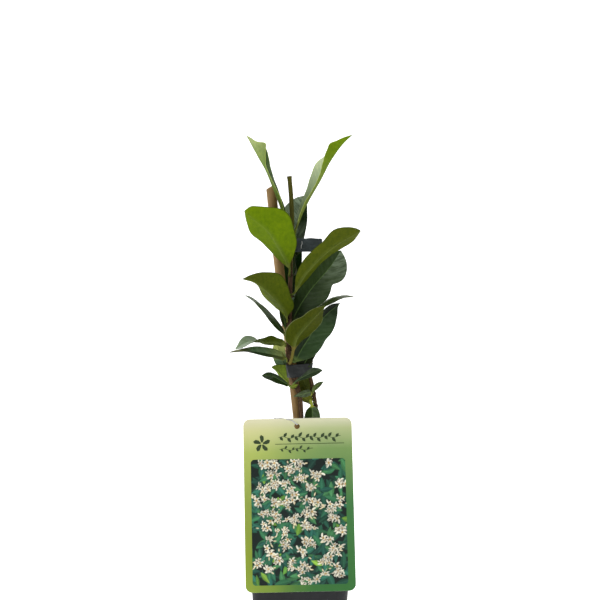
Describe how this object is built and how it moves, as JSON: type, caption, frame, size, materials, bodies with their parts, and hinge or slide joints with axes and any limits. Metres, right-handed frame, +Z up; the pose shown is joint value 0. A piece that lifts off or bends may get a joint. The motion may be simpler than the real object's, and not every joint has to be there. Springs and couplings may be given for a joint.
{
  "type": "star jasmine plant in a square nursery pot",
  "caption": "Young star jasmine climber tied to a bamboo cane, in a square plastic nursery pot with soil and a hanging plant label.",
  "frame": {"origin": "middle of the pot's flat base, on the ground", "axes": "+Z up the plant, -Y to the front, where the label hangs; +X to the right seen from the front"},
  "size_m": [0.1101, 0.1017, 0.444],
  "materials": {
    "pot_plastic": "satin",
    "compost": "matte",
    "bamboo": "satin",
    "bark": "matte",
    "leaf": "gloss",
    "tape": "satin",
    "steel": "satin",
    "wire": "satin",
    "label_card": "gloss"
  },
  "bodies": {
    "root": {"label": "label_card", "pot": "pot_plastic", "soil": "compost", "cane": "bamboo", "stem_main": "bark", "stem_second": "bark", "tie_upper": "tape", "staple_upper": "steel", "tie_lower": "tape", "staple_lower": "steel", "label_wire": "wire", "leaf_top_left": "leaf", "leaf_top_right": "leaf", "leaf_back_upper": "leaf", "leaf_back_middle": "leaf", "leaf_left_large": "leaf", "leaf_right_large": "leaf", "leaf_right_dark": "leaf", "leaf_left_mid": "leaf", "leaf_left_narrow": "leaf", "leaf_right_thin": "leaf", "leaf_right_front": "leaf", "leaf_right_low": "leaf", "leaf_back_low": "leaf", "leaf_left_twisted": "leaf", "leaf_left_long": "leaf", "leaf_back_left": "leaf", "leaf_left_inner": "leaf", "leaf_left_small": "leaf", "leaf_left_low": "leaf", "leaf_right_small": "leaf", "leaf_shoot_right": "leaf", "leaf_shoot_left": "leaf", "leaf_shoot_back": "leaf", "leaf_shoot_low": "leaf", "leaf_hanging": "leaf", "leaf_bud": "leaf", "leaf_rear_upper": "leaf", "leaf_rear_left": "leaf", "leaf_rear_right": "leaf", "leaf_rear_middle": "leaf", "leaf_rear_low": "leaf"}
  },
  "joints": []
}
